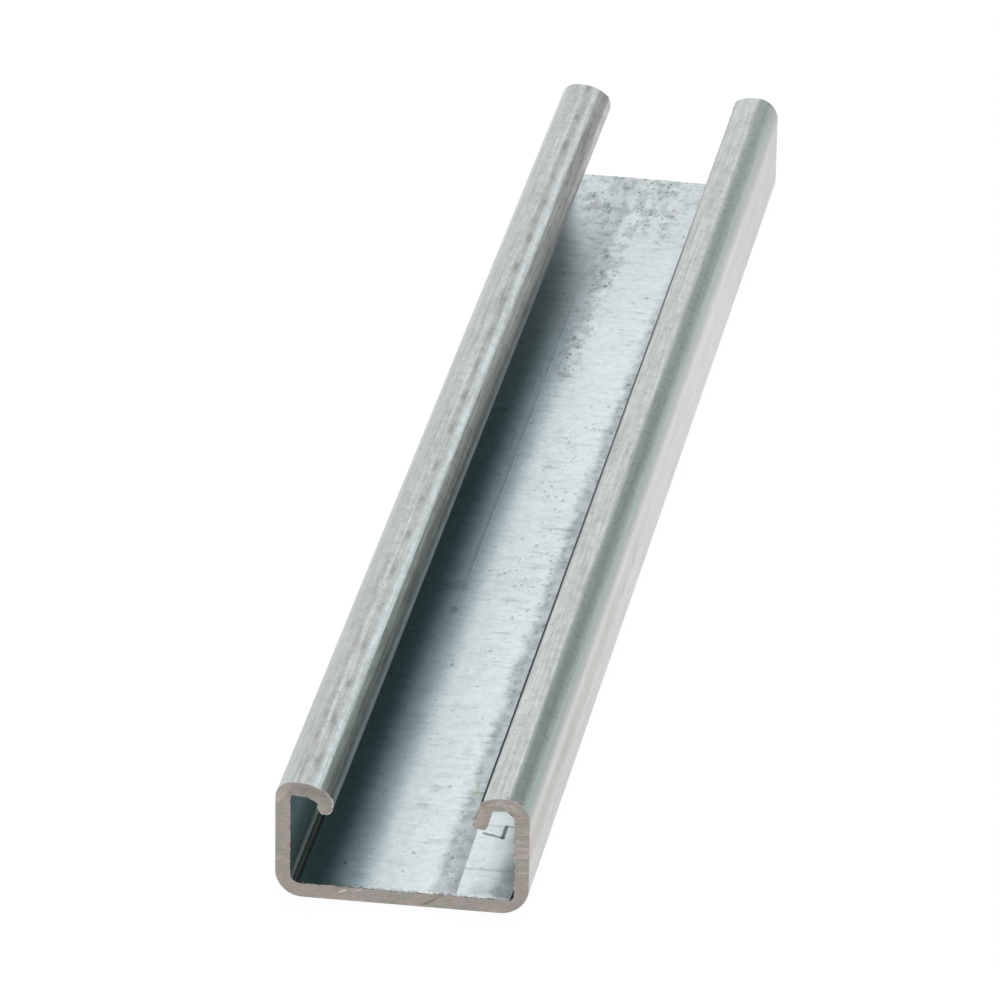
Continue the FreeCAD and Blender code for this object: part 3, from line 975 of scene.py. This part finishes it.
def dull_shaded_material(finish, groups):
    """Dull zinc with painted shade and painted reflection: the slot's edges, under the lips, inside
    the walls.
    """
    material, g, shader, place = new_material("dull_zinc_painted_shade", groups, 0.92)
    shader.inputs["Specular Tint"].default_value = (0.55, 0.52, 0.52, 1)
    x, y, z = g.axes(place)
    pocket_shade = Vector(finish.painted_pocket_shade)
    bend_reflection = Vector(finish.painted_bend_reflection)

    # Inside the walls and under the lips: painted shade that changes with height, lighter on the right
    # side
    drawn = g.noise(g.scaled(place, (0.8, 0.05, 0.8)), 1.0, 4.0, 0.6)
    colour = g.colours(
        g.times(z, 0.05),
        (
            (0.12, pocket_shade * 0.4),
            (0.148, pocket_shade * 0.4),
            (0.16, (0.48, 0.53, 0.51)),
            (0.2, (0.4, 0.43, 0.42)),
            (0.235, pocket_shade * 1.6),
            (0.43, pocket_shade * 1.1),
            (0.6, pocket_shade * 2.2),
            (0.84, pocket_shade * 2.4),
        ),
    )
    under = g.step(z, 16.6, 17.4)
    colour = g.cover(colour, under, (0.22, 0.31, 0.32))
    foot = g.times(g.use("band", z, 2.7, 6.4, 0.4), g.step(y, -147.0, -140.0))
    right = g.step(x, 0.0, 1.0)
    colour = g.cover(colour, g.times(right, g.either(foot, g.step(z, 6.0, 6.8))), (0.5, 0.54, 0.54))
    colour = g.tint(colour, g.step(drawn, 0.4, 0.62), (0.72, 0.74, 0.74))

    # Curl of the left lip, in bands of painted reflection: grey shoulder, thin dark line, dark side
    # that lightens downwards
    side = g.colours(
        g.times(g.minus(z, 15.0), 0.2),
        (
            (0.04, bend_reflection * 1.7),
            (0.14, bend_reflection * 1.3),
            (0.3, bend_reflection * 1.3),
            (0.42, bend_reflection * 2.6),
            (0.54, bend_reflection * 2.9),
            (0.61, bend_reflection * 1.8),
            (0.69, bend_reflection * 1.0),
            (0.76, bend_reflection * 0.66),
            (0.8, bend_reflection * 0.74),
            (0.84, bend_reflection * 1.15),
            (0.92, bend_reflection * 1.35),
            (0.955, bend_reflection * 2.1),
        ),
    )
    # Painted reflection lighter towards the far end, with a painted highlight low on the curl there
    side = g.cover(side, g.step(y, -90.0, 130.0, 0.0, 0.85), (0.435, 0.46, 0.455))
    low = g.drop(z, 17.4, 18.5)
    side = g.cover(side, g.times(g.step(y, 76.0, 128.0), low), (0.97, 0.98, 0.975))
    lines = g.use("streaks", place, (3.0, 0.05, 3.0), 0.38, 0.66)
    side = g.tint(side, lines, (0.62, 0.61, 0.6), 0.8)
    spots = g.use("blotches", g.scaled(place, (1.0, 0.3, 1.0)), 1.4, 0.44, 0.62)
    side = g.tint(side, spots, (0.74, 0.73, 0.72), 0.6)
    colour = g.cover(colour, g.use("band", x, CURL_START - 0.2, -8.0, 0.02), side)

    # Corner and leg of the right lip: painted shade, nearly black at the near end and lightening
    # towards the far end
    leg = g.times(g.step(x, 10.0, 11.0), g.step(z, 14.0, 14.5))
    leg = g.times(leg, g.drop(g.minus(x, g.times(z, 0.3)), 8.9, 9.1))
    legs = g.cover((0.08, 0.1, 0.1), g.step(y, -140.0, 120.0), (0.42, 0.44, 0.44))
    legs = g.cover(legs, g.step(y, 60.0, 110.0), (0.7, 0.72, 0.72))
    colour = g.cover(colour, leg, legs)

    # Painted glints in broken bits along the rim of the cut at the curl
    edge = g.cut_edge()
    curl = g.step(z, 15.0, 16.0)
    rim_glints = g.times(g.step(g.noise(place, 2.2, 2.0), 0.48, 0.6), curl)
    colour = g.cover(colour, g.times(edge, rim_glints), (0.88, 0.88, 0.87), 0.8)

    grain = g.noise(place, 2.2, 4.0, 0.65)
    rough = g.plus(0.28, g.times(grain, 0.12))
    height = g.plus(g.times(grain, 0.4), g.times(lines, 0.5))
    coat(g, shader, colour, rough, relief(g, place, height, 0.15))
    return material


def steel_material(finish, groups):
    """Raw steel of a saw cut: mottled, with saw marks, dark specks and a painted highlight on the
    burred rim.
    """
    material, g, shader, place = new_material("sawn_steel", groups, 0.9)
    x, y, z = g.axes(place)
    turned = g.fill_named("ShaderNodeMapping", Vector=place, Rotation=(0.0, math.radians(8), 0.0))

    # Mottled pinkish and greenish grey, with fine saw lines
    stretched = g.scaled(place, (0.6, 1.0, 1.0))
    rosy = g.use("blotches", stretched, 2.2, 0.4, 0.6)
    colour = g.cover(finish.sawn_steel, rosy, (0.42, 0.357, 0.343), 0.85)
    mossy = g.use("blotches", g.shifted(stretched, (40, 0, 11)), 1.8, 0.46, 0.62)
    colour = g.cover(colour, mossy, (0.339, 0.352, 0.316), 0.85)
    pale = g.use("blotches", g.shifted(place, (0, 0, 60)), 1.2, 0.5, 0.66)
    colour = g.tint(colour, pale, (1.2, 1.2, 1.22), 0.7)
    saw = g.use("streaks", turned, (0.35, 0.3, 4.2), 0.42, 0.7)
    colour = g.tint(colour, saw, (0.8, 0.79, 0.78), 0.6)
    dots = g.use("specks", place, 0.7, 0.2, 0.4)
    colour = g.tint(colour, dots, (0.62, 0.59, 0.58), 0.55)

    # Saw marks on the near cut: light scratches, a crack-like dark one, bright flakes
    near = g.drop(y, -1.0, 1.0)
    bent = g.shifted(place, g.scaled(g.noise(place, 0.8, 3.0), (0.3, 0.0, 0.5)))
    flat = g.scaled(bent, (1.0, 0.0, 1.0))
    for begin, end, wide, shade in (
        ((18.7, 15.6), (20.6, 15.3), 0.4, 1.16),
        ((18.5, 14.6), (20.7, 14.9), 0.4, 1.15),
        ((18.6, 13.4), (20.3, 13.1), 0.5, 1.18),
        ((18.6, 12.0), (20.7, 12.4), 0.6, 1.16),
        ((18.5, 10.6), (20.3, 10.8), 0.8, 1.18),
        ((19.0, 7.6), (20.7, 8.0), 0.5, 1.14),
        ((13.9, 19.5), (15.6, 19.9), 0.5, 1.16),
        ((15.6, 19.9), (17.7, 19.6), 0.5, 1.2),
        ((17.7, 19.6), (19.4, 18.2), 0.5, 1.14),
        ((-20.3, 17.6), (-18.4, 19.9), 1.6, 1.14),
        ((-17.6, 19.35), (-13.2, 19.35), 2.6, 0.8),
        ((-11.7, 18.8), (-11.7, 16.2), 2.2, 0.88),
        ((12.5, 17.9), (12.2, 15.6), 2.2, 1.12),
        ((-10.0, 1.75), (-8.9, 2.15), 0.32, 1.9),
        ((-7.0, 2.3), (-6.6, 2.35), 0.24, 1.7),
        ((3.7, 0.8), (6.0, 2.1), 0.36, 0.66),
    ):
        mark = g.use("stroke", flat, (begin[0], 0.0, begin[1]), (end[0], 0.0, end[1]), wide)
        colour = g.tint(colour, g.times(mark, near), (shade, shade, shade))

    # The rim: a painted highlight round it, painted glints on the burr at the curl, dark crumbs along
    # the edges hidden inside the channel
    edge = g.cut_edge()
    width = g.math("ABSOLUTE", x)
    hidden = g.times(g.drop(width, 18.7, 18.9), g.use("band", z, 2.2, 18.3, 0.1))
    curl = g.times(g.use("band", x, -13.9, -10.5, 0.2), g.step(z, 14.5, 15.2))
    coarse = g.noise(place, 1.3, 3.0, 0.6)
    rim = g.times(edge, g.step(coarse, 0.36, 0.6))
    colour = g.cover(colour, rim, (0.6, 0.6, 0.59), 0.5)
    sparks = g.times(edge, curl, g.step(g.noise(place, 2.0, 3.0, 0.6), 0.46, 0.6))
    colour = g.cover(colour, sparks, (0.92, 0.92, 0.92), 0.85)
    soot = g.times(edge, hidden, g.drop(coarse, 0.44, 0.56))
    colour = g.cover(colour, soot, (0.07, 0.065, 0.06), 0.85)

    rough = g.plus(0.42, g.times(saw, 0.12))
    height = g.plus(saw, g.times(coarse, 0.6))
    coat(g, shader, colour, rough, g.bump(height, 0.35, SAW_MARK_DEPTH))
    return material


# Stage


def shown_directly(g):
    """1 for the camera's rays and for reflections."""
    rays = g.node("ShaderNodeLightPath")
    return g.either(rays.outputs["Is Camera Ray"], rays.outputs["Is Glossy Ray"])


def make_world():
    """White to the camera and in reflections, softer light on everything else."""
    world = bpy.data.worlds.new("studio")
    bpy.context.scene.world = world
    g = fresh_graph(world)
    leave = g.node("ShaderNodeOutputWorld")
    soft = g.fill_named("ShaderNodeBackground", Color=SKY_COLOUR, Strength=SKY_STRENGTH)
    seen = g.fill_named("ShaderNodeBackground", Color=WHITE, Strength=1.0)
    both = g.fill(g.node("ShaderNodeMixShader"), shown_directly(g), soft, seen)
    g.feed(leave.inputs["Surface"], both)


def make_floor(stage):
    """A wide floor, white to the camera but for the channel's faint shadow."""
    deselect_all()
    bpy.ops.mesh.primitive_plane_add(size=FLOOR_SIZE, location=(0, 0, -FLOOR_GAP))
    floor = bpy.context.active_object
    floor.name = "floor"
    bpy.ops.object.transform_apply(location=True, rotation=True, scale=True)
    material = bpy.data.materials.new("pale_floor")
    g = fresh_graph(material)
    leave = g.node("ShaderNodeOutputMaterial")
    plain = g.fill_named("ShaderNodeBsdfDiffuse", Color=stage.floor_colour)
    white = g.fill_named("ShaderNodeEmission", Color=WHITE, Strength=FLOOR_GLOW)
    share = g.times(shown_directly(g), FLOOR_GLOW_SHARE)
    g.feed(leave.inputs["Surface"], g.fill(g.node("ShaderNodeMixShader"), share, plain, white))
    floor.data.materials.append(material)


def make_lamp(stage):
    """One wide softbox overhead, kept out of reflections so that flat zinc does not glare."""
    deselect_all()
    bpy.ops.object.light_add(type="AREA", location=SOFTBOX_PLACE)
    lamp = bpy.context.active_object
    lamp.name = "softbox_overhead"
    lamp.data.shape = "SQUARE"
    lamp.data.size = SOFTBOX_SIZE
    lamp.data.energy = stage.key_power
    lamp.visible_glossy = False


def make_camera(stage):
    """The camera of the photograph."""
    deselect_all()
    bpy.ops.object.camera_add(location=tuple(stage.camera_place), rotation=tuple(stage.camera_turn))
    camera = bpy.context.active_object
    camera.name = "camera"
    camera.data.sensor_width = SENSOR_WIDTH
    camera.data.lens = stage.lens
    bpy.context.scene.camera = camera


# Operators and panel


class STRUT_OT_dress_channel(bpy.types.Operator):
    """Makes the channel's zinc skin with its two sawn ends"""

    bl_idname = "strut.dress_channel"
    bl_label = "Dress the channel"

    def execute(self, context):
        cuts = context.scene.strut_cuts
        finish = context.scene.strut_finish
        skin = copy_of_channel()
        cut_rings(skin)
        mark_parts(skin)
        wave_sheet(skin, cuts.waviness)
        saw_ends(skin, cuts)
        groups = make_groups()
        for make in (outside_material, steel_material, web_material, dull_shaded_material):
            skin.data.materials.append(make(finish, groups))
        smooth_skin(skin)
        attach(skin, "root")
        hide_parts("channel")
        return {"FINISHED"}


class STRUT_OT_set_stage(bpy.types.Operator):
    """Sets up the floor, the studio light and the camera"""

    bl_idname = "strut.set_stage"
    bl_label = "Set the stage"

    def execute(self, context):
        stage = context.scene.strut_stage
        context.scene.view_settings.view_transform = "Standard"
        make_world()
        make_floor(stage)
        make_lamp(stage)
        make_camera(stage)
        return {"FINISHED"}


class STRUT_PT_panel(bpy.types.Panel):
    bl_idname = "STRUT_PT_panel"
    bl_label = "Strut channel"
    bl_space_type = "VIEW_3D"
    bl_region_type = "UI"
    bl_category = "Strut channel"

    def draw(self, context):
        layout = self.layout
        for settings, operator in (
            ("strut_cuts", None),
            ("strut_finish", "strut.dress_channel"),
            ("strut_stage", "strut.set_stage"),
        ):
            box = layout.box()
            group = getattr(context.scene, settings)
            for name in group.__annotations__:
                box.prop(group, name)
            if operator:
                box.operator(operator)


CLASSES = (
    StrutCutSettings,
    StrutFinishSettings,
    StrutStageSettings,
    STRUT_OT_dress_channel,
    STRUT_OT_set_stage,
    STRUT_PT_panel,
)


def register():
    for item in CLASSES:
        bpy.utils.register_class(item)
    bpy.types.Scene.strut_cuts = bpy.props.PointerProperty(type=StrutCutSettings)
    bpy.types.Scene.strut_finish = bpy.props.PointerProperty(type=StrutFinishSettings)
    bpy.types.Scene.strut_stage = bpy.props.PointerProperty(type=StrutStageSettings)


def unregister():
    del bpy.types.Scene.strut_stage
    del bpy.types.Scene.strut_finish
    del bpy.types.Scene.strut_cuts
    for item in reversed(CLASSES):
        bpy.utils.unregister_class(item)


def main():
    """Makes everything."""
    register()
    bpy.ops.strut.dress_channel()
    bpy.ops.strut.set_stage()


if __name__ == "__main__":
    main()
